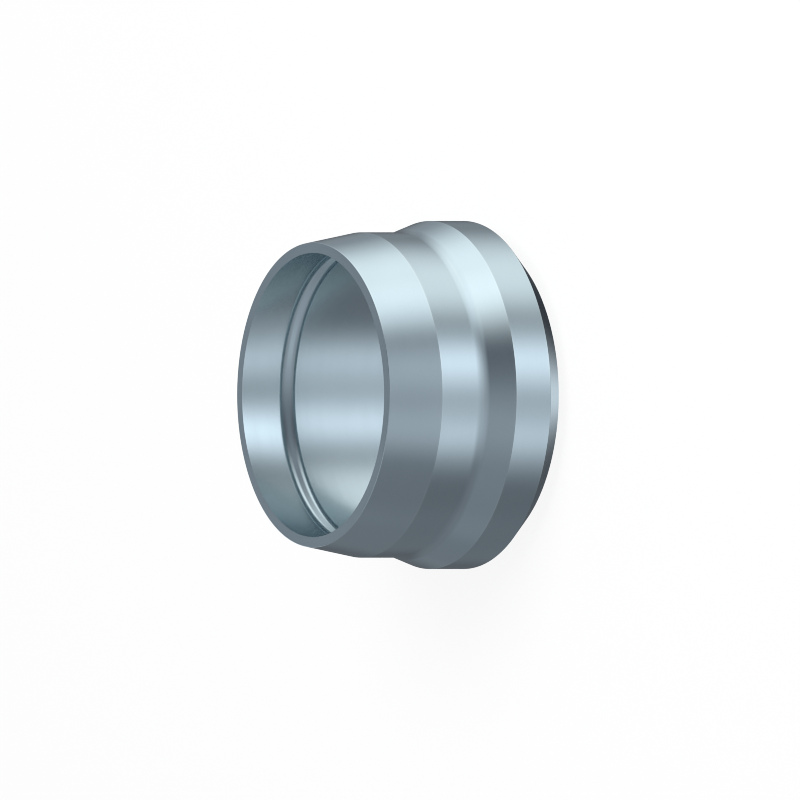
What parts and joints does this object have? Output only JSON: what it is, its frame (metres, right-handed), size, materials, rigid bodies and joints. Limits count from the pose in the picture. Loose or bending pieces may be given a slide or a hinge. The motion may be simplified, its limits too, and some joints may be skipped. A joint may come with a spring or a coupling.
{
  "type": "cutting ring",
  "caption": "Turned steel cutting ring that grips a metric tube in a 24 degree cone fitting, with a tapered nose, a stepped body and a relief groove in the bore.",
  "frame": {"origin": "centre of the rear face, on the plane that the ring stands on", "axes": "+Z along the tube axis towards the nose; the ring is round, so X and Y are any two directions across it"},
  "size_m": [0.0184, 0.0184, 0.0104],
  "materials": {
    "plated_steel": "fine turned, zinc plated, satin"
  },
  "bodies": {
    "root": {"cutting_ring": "plated_steel"}
  },
  "joints": []
}
